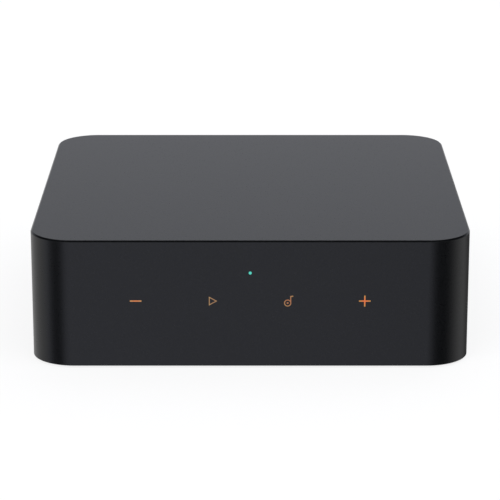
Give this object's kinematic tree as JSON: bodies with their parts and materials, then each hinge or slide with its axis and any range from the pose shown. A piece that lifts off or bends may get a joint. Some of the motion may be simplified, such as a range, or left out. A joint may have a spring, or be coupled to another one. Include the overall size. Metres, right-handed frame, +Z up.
{
  "type": "network music streamer",
  "caption": "Low square table-top network music streamer: a dark moulded case with rounded corners, lit touch symbols on the front and audio and network sockets at the back.",
  "frame": {"origin": "on the table under the middle of the case and its rear sockets together", "axes": "+X to the right seen from the front, +Y from the front to the back, +Z up"},
  "size_m": [0.14, 0.1476, 0.042],
  "materials": {
    "shell_plastic": "satin",
    "panel_plastic": "satin",
    "screw_steel": "zinc plated",
    "foot_rubber": "matte",
    "symbol_plastic": "lit from behind",
    "lens_plastic": "clear",
    "white_plastic": "moulded",
    "board_laminate": "solder mask",
    "dark_laminate": "solder mask",
    "chip_resin": "moulded",
    "pad_silicone": "soft",
    "sink_aluminium": "anodised",
    "shield_steel": "tin plated",
    "antenna_copper": "flat foil",
    "lead_jacket": "smooth",
    "socket_plastic": "moulded",
    "barrel_plating": "nickel plated",
    "white_insert_plastic": "moulded",
    "red_insert_plastic": "moulded",
    "orange_insert_plastic": "moulded",
    "contact_gold": "gold plated",
    "shutter_plastic": "moulded",
    "lamp_plastic": "clear",
    "button_plastic": "moulded"
  },
  "bodies": {
    "case": {"upper_shell": "shell_plastic", "rear_panel": "panel_plastic", "bottom_cover": "panel_plastic", "cover_screws": "screw_steel", "board_screws": "screw_steel", "foot_front_left": "foot_rubber", "foot_front_right": "foot_rubber", "foot_rear_left": "foot_rubber", "foot_rear_right": "foot_rubber", "icon_minus": "symbol_plastic", "icon_play": "symbol_plastic", "icon_note": "symbol_plastic", "icon_plus": "symbol_plastic", "status_lens": "lens_plastic", "light_box": "white_plastic", "touch_lamps": "white_plastic", "ribbon_sockets": "white_plastic", "ribbon_cable": "white_plastic", "heat_sink_pins": "white_plastic", "main_board": "board_laminate", "touch_board": "dark_laminate", "wireless_board": "dark_laminate", "processor": "chip_resin", "audio_converter": "chip_resin", "ethernet_transformer": "chip_resin", "thermal_pad": "pad_silicone", "heat_sink": "sink_aluminium", "audio_capacitors": "sink_aluminium", "wireless_shield": "shield_steel", "ethernet_shield": "shield_steel", "power_shell": "shield_steel", "antenna_left": "antenna_copper", "antenna_right": "antenna_copper", "antenna_leads": "lead_jacket", "line_in_block": "socket_plastic", "line_out_block": "socket_plastic", "coax_block": "socket_plastic", "optical_out_housing": "socket_plastic", "optical_in_housing": "socket_plastic", "optical_out_module": "socket_plastic", "optical_in_module": "socket_plastic", "ethernet_insert": "socket_plastic", "trigger_jack": "socket_plastic", "reset_switch": "socket_plastic", "power_tongue": "socket_plastic", "line_in_left_barrel": "barrel_plating", "line_in_right_barrel": "barrel_plating", "line_out_left_barrel": "barrel_plating", "line_out_right_barrel": "barrel_plating", "coax_barrel": "barrel_plating", "white_inserts": "white_insert_plastic", "red_inserts": "red_insert_plastic", "orange_insert": "orange_insert_plastic", "barrel_contacts": "contact_gold", "ethernet_contacts": "contact_gold", "ethernet_lamps": "lamp_plastic"},
    "optical_out_flap": {"optical_out_shutter": "shutter_plastic"},
    "optical_in_flap": {"optical_in_shutter": "shutter_plastic"},
    "reset_plunger": {"reset_button": "button_plastic"}
  },
  "joints": [
    {"name": "optical_out_hinge", "type": "hinge", "parent": "case", "child": "optical_out_flap", "pos_m": [-0.00934, 0.0641, 0.01955], "axis": [-1, 0, 0], "range_deg": [0, 88], "stiffness_Nm_per_rad": 0.0004, "springref_deg": -28.65},
    {"name": "optical_in_hinge", "type": "hinge", "parent": "case", "child": "optical_in_flap", "pos_m": [0.0043, 0.0641, 0.01955], "axis": [-1, 0, 0], "range_deg": [0, 88], "stiffness_Nm_per_rad": 0.0004, "springref_deg": -28.65},
    {"name": "reset_press", "type": "slide", "parent": "case", "child": "reset_plunger", "axis": [0, -1, 0], "range_m": [0, 0.0005], "stiffness_N_per_m": 800, "springref_m": -0.0005}
  ]
}
